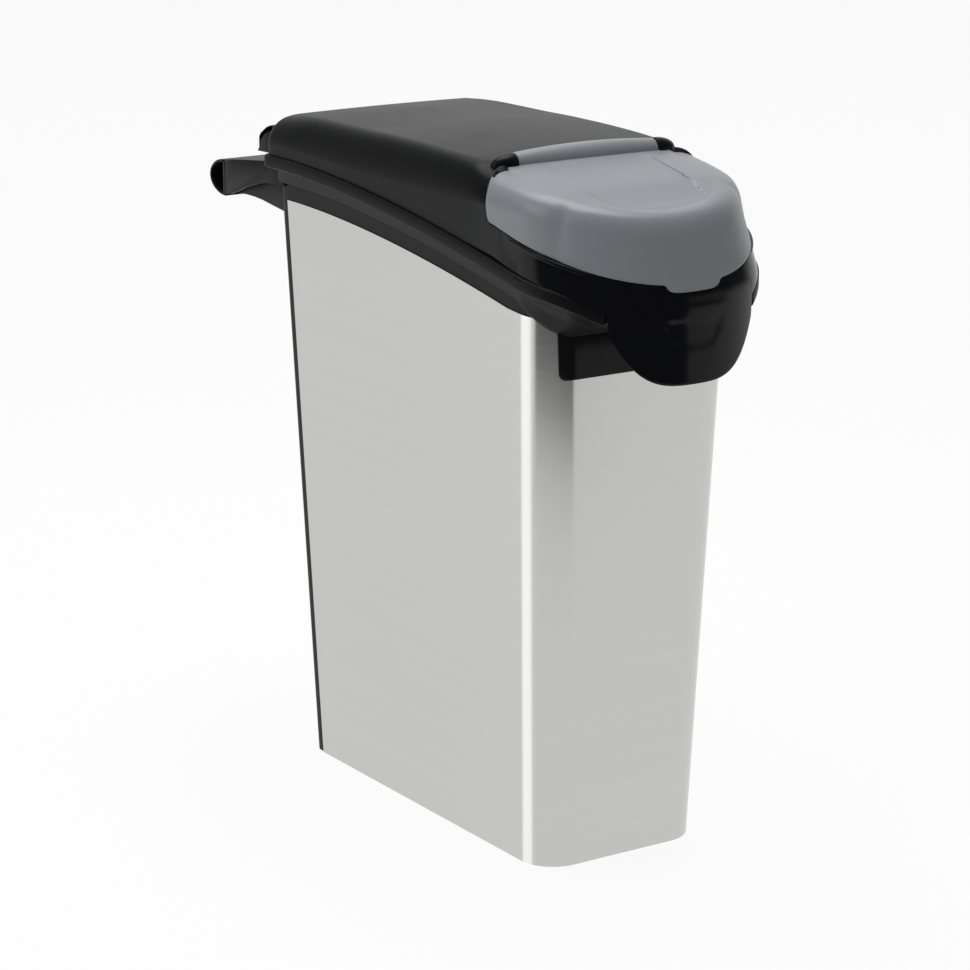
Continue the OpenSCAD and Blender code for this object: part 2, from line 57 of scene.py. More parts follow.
def colour(name, text, default):
    return FloatVectorProperty(name=name, description=text, default=default, size=3, subtype="COLOR",
                               min=0.0, max=1.0)


class BinSizes(bpy.types.PropertyGroup):
    """Sizes that the pieces are built from"""
    foot_w: size("Foot width", "Width of the tub's foot, side to side", 0.1284)
    foot_l: size("Foot length", "Length of the tub's foot, front to back", 0.2914)
    front_r: size("Front corner radius", "Radius of the tub's front vertical corners", 0.025)
    rear_r: size("Rear corner radius", "Radius of the tub's rear vertical corners", 0.008)
    wall: size("Tub wall", "Moulded wall thickness of the tub", 0.0026)
    floor_t: size("Tub floor", "Thickness of the tub's floor", 0.004)
    apron_z: size("Apron edge", "Height of the front apron's lower edge", 0.3295)
    apron_half: size("Apron half width", "Half width of the front apron", 0.0615)
    sheet: size("Sheet", "Thickness of the steel sheet", 0.0006)
    sheet_drop: size("Sheet drop", "Height of the sheet's edge below the rim line", 0.0305)
    sheet_rear: size("Sheet rear", "Distance from the rear wall to the sheet's rear edges", 0.013)
    rim_w: size("Rim half width", "Half width of the rim band", 0.088)
    nose_y: size("Nose start", "Where the straight sides turn into the round nose", -0.144)
    nose_l: size("Nose length", "Length of the nose from there to its tip", 0.072)
    rim_rear: size("Rim rear", "Where the rim ends at the rear", 0.168)
    rim_top: size("Rim height", "Height of the rim line at the rear", 0.4305)
    band_h: size("Band height", "Height of the band round the rim", 0.0085)
    step_h: size("Step height", "Height of the step under the band", 0.019)
    lid_wall: size("Lid wall", "Wall thickness of the lids", 0.0026)
    round_w: size("Rounding width", "Width of the rounding from the lid's side to its top", 0.018)
    shield_z: size("Shield edge", "Height of the nose shield's lowest point", 0.3315)
    parting: size("Parting gap", "Gap along the line where the two lids meet", 0.0005)
    lip_half: size("Lip half width", "Half width of the lip at the front of the flip lid", 0.022)
    lip_z: size("Lip edge", "Height of the lip's lower edge", 0.3902)
    flip_y: size("Flip hinge place", "Place of the flip lid's hinge axis from front to back", -0.0944)
    flip_z: size("Flip hinge height", "Height of the flip lid's hinge axis", 0.4565)
    barrel_r: size("Barrel radius", "Radius of the hinge barrel at its ends", 0.007)
    barrel_crown: size("Barrel swell", "How much the barrel swells in the middle", 0.0024)
    barrel_half: size("Barrel half length", "Half length of the hinge barrel", 0.0542)
    flip_pin_r: size("Flip pin radius", "Radius of the flip lid's hinge pins", 0.002)
    hinge_y: size("Main hinge place", "Place of the main hinge axis from front to back", 0.1745)
    hinge_z: size("Main hinge height", "Height of the main hinge axis", 0.438)
    hinge_pin_r: size("Main pin radius", "Radius of the main hinge pins", 0.0025)
    hood_half: size("Hood half width", "Half width of the hood over the main hinge", 0.08)
    grip_y: size("Grip place", "Where the grip's flat inner face stands", 0.2325)
    grip_d: size("Grip depth", "Depth of the grip", 0.0233)
    grip_top: size("Grip top", "Height of the grip's top", 0.4165)
    grip_h: size("Grip height", "Height of the grip", 0.026)
    arm_x: size("Arm place", "Outer face of the handle's arms", 0.0797)
    web_x: size("Web place", "Outer face of the webs under the handle", 0.07)


class BinColours(bpy.types.PropertyGroup):
    """Colours of the finishes"""
    tub: colour("Tub plastic", "Black plastic of the tub and the handle", (0.006, 0.006, 0.0066))
    lid: colour("Lid plastic", "Black plastic of the lid", (0.005, 0.0052, 0.006))
    flip: colour("Flip lid plastic", "Cool grey plastic of the flip lid", (0.235, 0.24, 0.262))
    steel: colour("Steel sheet", "Brushed steel round the tub", (0.60, 0.60, 0.595))
    pin: colour("Pin steel", "Plain steel of the hinge pins", (0.52, 0.52, 0.52))
    rubber: colour("Gasket rubber", "Soft black rubber of the gaskets", (0.025, 0.025, 0.026))
    floor: colour("Floor", "Pale floor that the bin stands on", (0.82, 0.82, 0.82))


class Millimetres:
    """The panel's sizes, read in millimetres."""
    def __getattr__(self, key):
        return getattr(bpy.context.scene.bin_sizes, key) * 1000


S = Millimetres()


# ---- curves ----
def clamp(t):
    return min(1.0, max(0.0, t))


def ease(t):
    t = clamp(t)
    return t * t * (3 - 2 * t)


def blend(a, b, t):
    return a + (b - a) * t


def spread(a, b, n):
    """n + 1 even steps from a to b."""
    return [a + (b - a) * i / n for i in range(n + 1)]


def smooth(points):
    """A smooth curve through points, which never swings past them."""
    xs, ys = zip(*points)
    n = len(xs)
    rise = [(ys[i + 1] - ys[i]) / (xs[i + 1] - xs[i]) for i in range(n - 1)]
    slope = [0.0 if a * b <= 0 else 2 * a * b / (a + b) for a, b in zip(rise, rise[1:])]
    slope = [rise[0]] + slope + [rise[-1]]

    def at(x):
        if x <= xs[0]:
            return ys[0]
        if x >= xs[-1]:
            return ys[-1]
        i = max(k for k in range(n - 1) if xs[k] <= x)
        h = xs[i + 1] - xs[i]
        t = (x - xs[i]) / h
        return ((1 + 2 * t) * (1 - t) ** 2 * ys[i] + t * (1 - t) ** 2 * h * slope[i]
                + t * t * (3 - 2 * t) * ys[i + 1] + t * t * (t - 1) * h * slope[i + 1])
    return at


# ---- heights along the side, in millimetres ----
FALL, FALL_POWER, FALL_FROM = 0.0022, 1.7, 140      # how the rim line falls towards the front
DROOP, DROOP_FROM = 0.009, -170                     # how the band dips further round the nose
SHEET_RISE, PART_FROM = 0.1, -122                   # the sheet's edge and the parting line change here
PART_Z, PART_FALL, PART_CURVE = 422.8, 0.18, 0.00135
LEAN_Z, LEAN_SOFT = 388, 5                          # the lid's wall starts to lean in round this height
SIDE_LEAN, END_LEAN = 0.034, 0.04                   # outward lean of the tub's walls
LIP_IN = 5.6                                        # the pouring lip lies this far inside the shield


def line_z(y):
    return S.rim_top - FALL * max(0.0, FALL_FROM - y) ** FALL_POWER


def rim_z(y):
    return line_z(y) - DROOP * max(0.0, DROOP_FROM - y) ** 2


def sheet_z(y):
    return line_z(y) - S.sheet_drop + SHEET_RISE * max(0.0, PART_FROM - y)


def part_z(y):
    t = PART_FROM - y
    return PART_Z - PART_FALL * t - PART_CURVE * t * t


# guide curves along Y: the top face's edge, its crown, the wall's shoulder, inset and lean, and the rounding
crest = smooth([(-203, 428.5), (-196, 432.8), (-190, 435.3), (-177, 439.6), (-166.5, 442.4),
                (-151, 446.7), (-130, 450.8), (-108, 454.7), (-100, 456.1), (-84, 458.6), (-73, 459.7),
                (-44, 460.8), (-8, 461.6), (22, 461.7), (54, 461.2), (100, 460.9), (120, 460.5),
                (141, 459.5), (160, 458)])
crown = smooth([(-200, 0.4), (-190, 0.6), (-151, 1.7), (-8, 1.9), (54, 1.8), (100, 1.4), (141, 0.8)])
shoulder = smooth([(-216, 423), (-195, 428), (-175, 432), (-140, 435), (-110, 436), (12, 436), (125, 438),
                   (165, 439)])
side_in = smooth([(-216, 0), (-185, 0), (-150, 1.6), (-110, 2.4), (165, 2.4)])
lean = smooth([(-216, 13), (-176, 13), (-164, 9.5), (-147, 5), (-130, 1.8), (-118, 0.6), (165, 0.3)])
tight = smooth([(-216, 1.3), (-150, 1.2), (-118, 1.0), (165, 0.95)])
top_in = smooth([(-216, 34), (-190, 32.5), (-168, 30.3), (-156, 29), (-134, 26), (-114, 24.5),
                 (-98, 23.5), (-90, 22), (-73, 20), (-44, 18), (118, 18), (140, 20.5), (160, 27), (168, 28)])
cut_edge = smooth([(422.8, -118.5), (427.5, -112.5), (432, -111), (438, -110), (445, -109), (451, -106),
                   (456.5, -99)])


# ---- plan outlines: a column is a kind of place on the left half and a number on it ----
NOSE = [("nose", a) for a in spread(0, 73.2, 61)[1:] + [74.9, 75.8, 77, 78.5, 80, 82, 84, 86, 88, 90]]
SIDE_Y = spread(152, -76, 30) + [
    -80, -84.2, -84.6, -87, -90, -93, -96, -99.5, -103, -106.5, -108, -108.9, -110, -114, -117.45, -117.9,
    -123, -128, -133, -138.5, -144]
SIDE = [("side", y) for y in SIDE_Y]
CORNER = [("corner", a) for a in spread(90, 180, 8)]
REAR = [("rear", f) for f in spread(0, 1, 5)[:-1]]
COLUMNS = REAR + CORNER + SIDE + NOSE
CUT = COLUMNS.index(("side", -110))
CORNER_R = 8                                        # the rim's rear corners
SPLIT_Y = 40                                        # columns behind this place follow the rear edge


def turn_place(w, r, back, degrees):
    """Point on the round corner between the left side and the rear."""
    a = math.radians(degrees)
    return -(w - r) + r * math.cos(a), back - r + r * math.sin(a)


def rim_place(column, inset):
    """Point of a column on the rim's outline, moved in by inset."""
    kind, v = column
    w = S.rim_w - inset
    r = min(max(CORNER_R - inset / 2, 2), w)
    back = S.rim_rear - inset
    if kind == "rear":
        return -(w - r) * v, back
    if kind == "corner":
        return turn_place(w, r, back, v)
    if kind == "side":
        stretch = (back - r - SPLIT_Y) / (S.rim_rear - CORNER_R - SPLIT_Y)
        return -w, v if v < SPLIT_Y else SPLIT_Y + (v - SPLIT_Y) * stretch
    a = math.radians(v)
    return -w * math.cos(a), S.nose_y - S.nose_l * w / S.rim_w * math.sin(a)


def tub_half(z):
    return S.foot_w / 2 + SIDE_LEAN * z, S.foot_l / 2 + END_LEAN * z


def tub_place(column, z, grow):
    """The same column on the tub's outline at height z, moved out by grow."""
    kind, v = column
    w, l = tub_half(z)
    w, l = w + grow, l + grow
    rr, rf = S.rear_r + grow, S.front_r + grow
    if kind == "rear":
        return -(w - rr) * v, l
    if kind == "corner":
        return turn_place(w, rr, l, v)
    if kind == "side":
        return -w, v * ((l - rf) / -S.nose_y if v < 0 else (l - rr) / (S.rim_rear - CORNER_R))
    f = v / 90
    turn = 0.55     # share of the nose columns that go round the front corner
    if f < turn:
        a = math.radians(90 * f / turn)
        return -(w - rf) - rf * math.cos(a), -(l - rf) - rf * math.sin(a)
    return -(w - rf) * (1 - (f - turn) / (1 - turn)), -l


def mirrored(n):
    """Pairs of a column's number and a side, all the way round from the middle of the rear."""
    return [(k, 1) for k in range(n)] + [(k, -1) for k in range(n - 1, -1, -1)]


# ---- mesh tools ----
MERGE, NO_AREA = 0.002, 1e-5


def surface(across, along, place, keep=None):
    """A sheet of across by along points, laid by place(i, j), with the cells that keep(i, j) allows."""
    bm = bmesh.new()
    bmesh.ops.create_grid(bm, x_segments=across - 1, y_segments=along - 1, size=1)
    where = {}
    for v in bm.verts:
        i = round((v.co.x + 1) / 2 * (across - 1))
        j = round((v.co.y + 1) / 2 * (along - 1))
        where[v] = (i, j)
    if keep:
        gone = [f for f in bm.faces if not keep(*(min(where[v][n] for v in f.verts) for n in (0, 1)))]
        bmesh.ops.delete(bm, geom=gone, context="FACES")
    for v in bm.verts:
        v.co = Vector(place(*where[v]))
    bmesh.ops.remove_doubles(bm, verts=bm.verts, dist=MERGE)
    flat = [f for f in bm.faces if f.calc_area() < NO_AREA]
    bmesh.ops.delete(bm, geom=flat, context="FACES_ONLY")
    return bm


def solid(across, along, place, width=0.0, over=50, segments=2):
    """A closed surface that faces outwards, with its sharp edges rounded by width."""
    bm = surface(across, along, place)
    bmesh.ops.recalc_face_normals(bm, faces=bm.faces)
    if width:
        round_edges(bm, width, segments, over)
    return bm


def close(bm):
    """Caps the open ends of a tube and turns its faces outwards."""
    bmesh.ops.holes_fill(bm, edges=[e for e in bm.edges if e.is_boundary], sides=0)
    bmesh.ops.recalc_face_normals(bm, faces=bm.faces)


def plate(points, x0, x1):
    """A flat plate from x0 to x1 with the given side view."""
    bm = bmesh.new()
    ring = [bm.verts.new((x0, y, z)) for y, z in points]
    face = bm.faces.new(ring)
    grown = bmesh.ops.extrude_face_region(bm, geom=[face], use_keep_orig=True)
    moved = [g for g in grown["geom"] if isinstance(g, bmesh.types.BMVert)]
    bmesh.ops.translate(bm, verts=moved, vec=(x1 - x0, 0, 0))
    bmesh.ops.recalc_face_normals(bm, faces=bm.faces)
    return bm


def turned(profile, steps=48):
    """A body turned about the X axis from pairs of x and radius."""
    bm = bmesh.new()
    verts = [bm.verts.new((x, 0, r)) for x, r in profile]
    edges = [bm.edges.new(pair) for pair in zip(verts, verts[1:])]
    bmesh.ops.spin(bm, geom=verts + edges, cent=(0, 0, 0), axis=(1, 0, 0), angle=math.tau, steps=steps,
                   use_merge=True)
    bmesh.ops.remove_doubles(bm, verts=bm.verts, dist=MERGE)
    bmesh.ops.recalc_face_normals(bm, faces=bm.faces)
    return bm


def pin_body(radius, x0, x1, y, z):
    """A straight pin with chamfered ends."""
    c = radius * 0.2
    bm = turned([(x0, 0), (x0, radius - c), (x0 + c, radius), (x1 - c, radius), (x1, radius - c), (x1, 0)])
    bmesh.ops.translate(bm, verts=bm.verts, vec=(0, y, z))
    return bm


def round_edges(bm, width, segments=2, over=40):
    """Rounds the edges that turn by more than over degrees."""
    limit = math.radians(over)
    edges = [e for e in bm.edges if len(e.link_faces) == 2 and e.calc_face_angle(0) > limit]
    if edges:
        bmesh.ops.bevel(bm, geom=edges, offset=width, offset_type="OFFSET", segments=segments, profile=0.5,
                        affect="EDGES", clamp_overlap=True, material=-1)


def joined(*parts):
    """One mesh of several closed ones."""
    whole = bmesh.new()
    for bm in parts:
        mesh = bpy.data.meshes.new("part")
        bm.to_mesh(mesh)
        bm.free()
        whole.from_mesh(mesh)
        bpy.data.meshes.remove(mesh)
    return whole


def thicken(bm, wall):
    """Gives a sheet its thickness, inwards from faces that point outwards."""
    bmesh.ops.solidify(bm, geom=bm.faces[:], thickness=wall)


def face_out(bm, axis, way):
    """Turns an open sheet so that its outermost face along the axis faces outwards."""
    bmesh.ops.recalc_face_normals(bm, faces=bm.faces)
    outer = max(bm.faces, key=lambda f: way * f.calc_center_median()[axis])
    if way * outer.normal[axis] < 0:
        bmesh.ops.reverse_faces(bm, faces=bm.faces)


def finish_piece(bm, name, body, node, finish, sharp=38):
    """Makes the piece's object in metres, and ties it to the frame."""
    bmesh.ops.scale(bm, vec=(0.001, 0.001, 0.001), verts=bm.verts)
    mesh = bpy.data.meshes.new(name)
    bm.to_mesh(mesh)
    bm.free()
    mesh.shade_smooth()
    mesh.set_sharp_from_angle(angle=math.radians(sharp))
    mesh.materials.append(finish)
    piece = bpy.data.objects.new(name, mesh)
    bpy.context.scene.collection.objects.link(piece)
    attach(piece, body)
    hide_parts(node)
    return piece


# ---- finishes ----
def signs(operation):
    """The two methods of a sign: for a value in front of it, and for a value behind it."""
    def ahead(self, other):
        return self.sum(operation, self, other)

    def behind(self, other):
        return self.sum(operation, other, self)
    return ahead, behind


class Value:
    """A material's socket, on which sums are written as plain Python."""
    def __init__(self, finish, socket):
        self.finish, self.socket = finish, socket

    def sum(self, operation, a, b):
        return self.finish.add("ShaderNodeMath", {"operation": operation}, {0: a, 1: b}).out()

    __add__, __radd__ = signs("ADD")
    __sub__, __rsub__ = signs("SUBTRACT")
    __mul__, __rmul__ = signs("MULTIPLY")


class Made:
    """A node that was just added, with its outputs as values."""
    def __init__(self, finish, node):
        self.finish, self.node = finish, node

    def out(self, name=0):
        return Value(self.finish, self.node.outputs[name])


class Finish:
    """A material that is written node by node."""
    def __init__(self, name, **constants):
        self.material = bpy.data.materials.new(name)
        self.material.use_nodes = True
        self.tree = self.material.node_tree
        self.shader = next(n for n in self.tree.nodes if n.type == "BSDF_PRINCIPLED")
        for key, value in constants.items():
            self.shader.inputs[key.replace("_", " ")].default_value = value

    def add(self, kind, settings=None, inputs=None):
        node = self.tree.nodes.new(kind)
        for key, value in (settings or {}).items():
            setattr(node, key, value)
        for key, value in (inputs or {}).items():
            self.feed(node.inputs[key], value)
        return Made(self, node)

    def feed(self, socket, value):
        if isinstance(value, Value):
            self.tree.links.new(value.socket, socket)
        else:
            socket.default_value = value

    def drive(self, name, value):
        self.feed(self.shader.inputs[name], value)

    def place(self, stretch=(1, 1, 1)):
        where = self.add("ShaderNodeTexCoord").out("Object")
        return self.add("ShaderNodeMapping", None, {"Vector": where, "Scale": stretch}).out()

    def noise(self, scale, detail=3.0, roughness=0.55, stretch=(1, 1, 1)):
        return self.add("ShaderNodeTexNoise", None, {
            "Vector": self.place(stretch), "Scale": scale, "Detail": detail,
            "Roughness": roughness}).out("Fac")

    def ramp(self, value, low, high, to_low=0.0, to_high=1.0):
        return self.add("ShaderNodeMapRange", {"interpolation_type": "SMOOTHSTEP"}, {
            "Value": value, "From Min": low, "From Max": high, "To Min": to_low, "To Max": to_high}).out()

    def mix(self, factor, a, b):
        return self.add("ShaderNodeMix", {"data_type": "RGBA"}, {0: factor, 6: a, 7: b}).out(2)

    def bump(self, height, strength, distance):
        self.drive("Normal", self.add("ShaderNodeBump", None, {
            "Strength": strength, "Distance": distance, "Height": height}).out())

    def dress(self, tint, pattern, low, high, rough, grain):
        """Colours the surface between two gains of the tint, with its roughness and fine grain."""
        self.drive("Base Color", self.mix(pattern, rgba(tint, low), rgba(tint, high)))
        self.drive("Roughness", rough)
        self.bump(*grain)
        return self.material

    def surface(self, light):
        """Puts a light in the place of the shader."""
        out = next(n for n in self.tree.nodes if n.type == "OUTPUT_MATERIAL")
        self.feed(out.inputs["Surface"], light.out())


def rgba(value, gain=1.0):
    return tuple(min(1.0, c * gain) for c in value) + (1.0,)


def black_plastic(name, tint, satin, gloss=0.0, polish=None):
    """Moulded black plastic with a fine grain, glossy where polish says that the mould is polished."""
    f = Finish(name, IOR=1.24)
    cloud = f.noise(9, 4)
    grain = f.noise(1500, 2, 0.6)
    smear = f.noise(45, 3, 0.6, (1, 0.35, 1))
    rough = satin + (cloud - 0.5) * 0.08 + (smear - 0.5) * 0.05
    if polish:
        shine = polish(f, f.add("ShaderNodeSeparateXYZ", None, {0: f.place()}).out("Y"))
        rough = rough * (1 - shine) + shine * (gloss + (smear - 0.5) * 0.06)
        grain = grain * (1 - shine * 0.85)
    return f.dress(tint, cloud, 0.8, 1.25, rough, (grain, 0.25, 0.00008))


def nose_shine(f, y):
    """The lid is polished round its nose, and satin on the top and the sides."""
    return f.ramp(y, -0.085, -0.125)


def grey_plastic(name, tint):
    """Cool grey plastic with a fine satin grain."""
    f = Finish(name, IOR=1.48)
    cloud = f.noise(12, 4)
    grain = f.noise(1300, 2, 0.6)
    speck = f.noise(420, 2, 0.5)
    rough = 0.36 + (cloud - 0.5) * 0.07 + (speck - 0.5) * 0.05
    return f.dress(tint, cloud * 0.6 + speck * 0.4, 0.94, 1.06, rough, (grain, 0.3, 0.00007))


def brushed_steel(name, tint):
    """Steel sheet with fine brush lines that run round the tub."""
    f = Finish(name, Metallic=1.0)
    lines = f.noise(260, 3, 0.7, (0.02, 0.02, 6))
    streak = f.noise(30, 3, 0.6, (0.06, 0.06, 4))
    cloud = f.noise(5, 3)
    rough = 0.21 + (lines - 0.5) * 0.06 + (streak - 0.5) * 0.03
    return f.dress(tint, lines * 0.5 + streak * 0.3 + cloud * 0.2, 0.93, 1.07, rough, (lines, 0.06, 0.00002))


def pin_metal(name, tint):
    """Plain drawn steel with faint lines along the pin."""
    f = Finish(name, Metallic=1.0)
    lines = f.noise(900, 2, 0.6, (0.05, 1, 1))
    return f.dress(tint, lines, 0.85, 1.1, 0.3 + (lines - 0.5) * 0.15, (lines, 0.1, 0.00002))


def soft_rubber(name, tint):
    """Dull rubber with a fine bloom."""
    f = Finish(name, IOR=1.45)
    bloom = f.noise(60, 4)
    grain = f.noise(1800, 2)
    return f.dress(tint, bloom, 0.85, 1.3, 0.7 + (bloom - 0.5) * 0.15, (grain, 0.3, 0.00006))


FINISHES = {
    "tub": (black_plastic, "tub", 0.42), "apron": (black_plastic, "tub", 0.17),
    "lid": (black_plastic, "lid", 0.40, 0.13, nose_shine), "flip": (grey_plastic, "flip"),
    "steel": (brushed_steel, "steel"), "pin": (pin_metal, "pin"), "rubber": (soft_rubber, "rubber")}


def finish_of(kind):
    """The finish of that name, made once."""
    name = "finish_" + kind
    if name not in bpy.data.materials:
        make, tint, *settings = FINISHES[kind]
        make(name, getattr(bpy.context.scene.bin_colours, tint), *settings)
    return bpy.data.materials[name]


# ---- dome shared by the two lids ----
LOW_ROWS = 26
HIGH_ROWS = 12
ROUND_ROWS = 14
TOP_X = [70, 67, 64, 61.5, 59, 57, 55.2, 54.9, 52.5, 50, 47.5, 45, 43, 42, 41.3, 40.6, 39.9, 39.2, 38.5,
         37.5, 36, 34, 31, 27, 23, 19, 15, 11, 7, 3.5, 0]
ROWS = ([("low", t) for t in spread(0, 1, LOW_ROWS)] + [("high", t) for t in spread(0, 1, HIGH_ROWS)[1:]]
        + [("round", t) for t in spread(0, 1, ROUND_ROWS)[1:]] + [("top", 88 - x) for x in TOP_X[1:]])
EDGE_GAP = 0.4                                      # gap between the lid's lower edge and the band
SHIELD_HALF, SHIELD_RISE, SHIELD_POWER = 56.5, 38, 3.6
BOW_FROM, BOW_MID, BOW_TO = -84.6, -110, -140       # columns that follow the bowed edge of the flip lid
CUT_TOP_Y = -104                                    # the top face's height at that edge is taken here
PANEL_REAR, PANEL_TURN, PANEL_HALF = -108.1, -151, 40.5
CRADLE_R, CRADLE_HALF = 10.3, 55                    # hollow in the lid for the hinge barrel


def shield_edge(column):
    """Lower edge of the lid: the rim line, or round the nose the shield's own edge."""
    x, y = rim_place(column, 0)
    if column[0] == "nose" and abs(x) < SHIELD_HALF - 0.5:
        return S.shield_z + SHIELD_RISE * (abs(x) / SHIELD_HALF) ** SHIELD_POWER
    return rim_z(y) + EDGE_GAP


def parting(column, gap):
    """Height of the line at which the flip lid starts, with the lip at the front."""
    x, y = rim_place(column, 0)
    if COLUMNS.index(column) < CUT:
        low = line_z(y)
        return low + 0.6 * (shoulder(y) - low)
    line = part_z(y)
    if abs(x) < S.lip_half and column[0] == "nose":
        line = min(line, S.lip_z + 5.5 * (abs(x) / S.lip_half) ** 7)
    return line - gap


def pull_depth(x, z):
    """Depth of the finger pull pressed into the shield."""
    half = blend(11, 24, clamp((z - 352) / 14) ** 0.6)
    edge = min(ease((375 - z) / 7), ease((z - 349) / 9), ease((half + 1 - abs(x)) / 8))
    return edge * blend(0.5, 1.1, clamp((z - 352) / 20))


def scoop_depth(x, z):
    """Depth of the shallow scoop under the lip."""
    return 0.45 * min(ease((z - 379.5) / 3), ease((29 - abs(x)) / 8))


def panel_depth(x, y):
    """Depth of the flat panel let into the flip lid's top, which runs out towards the front."""
    t = clamp((PANEL_TURN - y) / 45)
    half = PANEL_HALF * (1 - t ** 2.2) ** 0.5
    edge = min(ease((PANEL_REAR - y) / 0.9), ease((half - abs(x)) / 0.9))
    return blend(1.0, 1.5, clamp((-109 - y) / 60)) * edge * (1 - ease((-174 - y) / 16))


def top_z(x, y):
    """Height of the top face."""
    return crest(y) + crown(y) * (1 - (x / (S.rim_w - S.round_w)) ** 2)


def top_inset(t, dc):
    """Inset of a row of the top face, whose outer rows follow the rounding's inner edge."""
    pivot = 32 + 9 * max(0.0, dc - 29)
    start = S.round_w
    return t if t >= pivot else dc + (t - start) * (pivot - dc) / (pivot - start)


def wall_inset(y, z):
    """How far the wall's face lies inside the rim's edge, which grows softly from LEAN_Z on."""
    q = z - LEAN_Z
    return side_in(y) + lean(y) / (shoulder(y) - LEAN_Z) * (q + math.hypot(q, LEAN_SOFT)) / 2


def dome_point(k, j, side, gap, flip):
    """Point of row j in column k on the outer face of a lid."""
    column = COLUMNS[k]
    kind, v = column
    zone, t = ROWS[j]
    y0 = rim_place(column, 0)[1]
    sh = shoulder(y0)
    dc = top_in(y0)
    xc, yc = rim_place(column, dc)
    top = crest(CUT_TOP_Y if k == CUT else yc) + crown(yc) * (1 - (xc / (S.rim_w - S.round_w)) ** 2)
    zp = parting(column, gap)
    if zone in ("low", "high"):
        z = blend(shield_edge(column), zp, t) if zone == "low" else blend(zp, sh, t)
        d = wall_inset(y0, z)
    elif zone == "round":
        ds = wall_inset(y0, sh)
        slope = lean(y0) / (sh - LEAN_Z)
        knee = min(ds + (top - sh) * (slope * 0.9 + 0.1), dc - 2)
        w = tight(y0)
        a, b, c = (1 - t) ** 2, 2 * w * t * (1 - t), t * t
        d = (a * ds + b * knee + c * dc) / (a + b + c)
        z = (a * sh + b * top + c * top) / (a + b + c)
    else:
        d = top_inset(t, dc)
    x, y = rim_place(column, d)
    if zone == "top":
        z = top_z(x, y)
    if kind == "side" and BOW_TO < v < BOW_FROM:
        bow = (v - BOW_FROM) / (BOW_MID - BOW_FROM) if v >= BOW_MID else (v - BOW_TO) / (BOW_MID - BOW_TO)
        y += bow * (cut_edge(z if zone != "low" else PART_Z) - BOW_MID + (gap if k == CUT else 0))
    if zone == "top" and kind == "side":
        z = top_z(x, y)
    # pressed-in details
    if flip and zone in ("top", "round"):
        z -= panel_depth(x, y)
    if flip and zone in ("low", "high") and kind == "nose" and abs(x) < S.lip_half + 1:
        rise = z - zp
        y -= 1.5 * math.exp(-((rise - 1.0) / 1.5) ** 2) * ease((S.lip_half + 0.5 - abs(x)) / 2)
        y += 0.5 * math.exp(-((rise - 3.6) / 1.1) ** 2) * ease((S.lip_half - 1 - abs(x)) / 3)
    if not flip and zone == "low" and kind == "nose":
        y += pull_depth(x, z) + scoop_depth(x, z)
    if not flip and zone == "top" and abs(x) < CRADLE_HALF and -112 < y < -84.3:
        reach = min(CRADLE_R, abs(y - S.flip_y)) if y > S.flip_y else 0
        z = min(z, S.flip_z - math.sqrt(CRADLE_R ** 2 - reach ** 2))
    return side * x, y, z


def dome(flip):
    """The skin of one lid: the flip lid from the parting line up, or the rest."""
    ring = mirrored(len(COLUMNS))
    rows = len(ROWS)

    def place(i, j):
        k, side = ring[i]
        return dome_point(k, j, side, 0 if flip else S.parting, flip)

    def keep(i, j):
        k, side = ring[i]
        first = k if side > 0 else k - 1
        mine = first >= CUT and j >= LOW_ROWS
        return i != len(COLUMNS) - 1 and (mine if flip else not mine)

    bm = surface(len(ring), rows, place, keep)
    face_out(bm, 2, 1)
    return bm


class BIN_OT_flip_lid(bpy.types.Operator):
    """Builds the grey flip lid with its hinge barrel, lip and seal rib"""
    bl_idname = "bin.flip_lid"
    bl_label = "Flip lid"

    def execute(self, context):
        def add(bm, name):
            finish_piece(bm, name, "flip", "flip_lid", finish_of("flip"))

        bm = dome(True)
        thicken(bm, S.lid_wall)
        round_edges(bm, 0.35, 2, 60)
        add(bm, "flip_cover")
        half = S.barrel_half
        soft = 0.5
        end = S.barrel_r - soft
        swell = [(x, S.barrel_r + S.barrel_crown * (1 - (x / half) ** 2))
                 for x in spread(-half + soft, half - soft, 28)]
        bm = turned([(-half, 0), (-half, end)] + swell + [(half, end), (half, 0)], 64)
        bmesh.ops.translate(bm, verts=bm.verts, vec=(0, S.flip_y, S.flip_z))
        add(bm, "flip_barrel")
        add(mouth_ring([(0, 6.5), (2, 6.5), (2, 0), (0, 0)], cover_skin), "flip_seal_rib")
        return {"FINISHED"}


# ---- mouth ----
MOUTH = [("rear", t) for t in spread(0, 1, 4)[:-1]] + [("turn", a) for a in spread(90, 180, 8)] + [
    ("side", t) for t in spread(0, 1, 3)[1:]] + [("nose", a) for a in spread(0, 90, 20)[1:]]
MOUTH_HALF, MOUTH_R, MOUTH_REAR, MOUTH_NOSE = 58, 14, -122, 46
DECK_REAR, DECK_TURN, DECK_IN, DECK_SHARE = -101.0, -116, (3.5, 4.5), 0.8
DECK_TOP, DECK_LOW, COLLAR_TOP, COLLAR_T = -1.5, -3.9, 3.5, 2    # heights over the parting line


def mouth_place(stop, grow):
    """Point of the mouth's edge, moved out by grow."""
    kind, v = stop
    w, r, back = MOUTH_HALF + grow, MOUTH_R + grow, MOUTH_REAR + grow
    if kind == "rear":
        return -(w - r) * v, back
    if kind == "turn":
        return turn_place(w, r, back, v)
    if kind == "side":
        return -w, blend(back - r, S.nose_y, v)
    a = math.radians(v)
    return -w * math.cos(a), S.nose_y - (MOUTH_NOSE + grow) * math.sin(a)


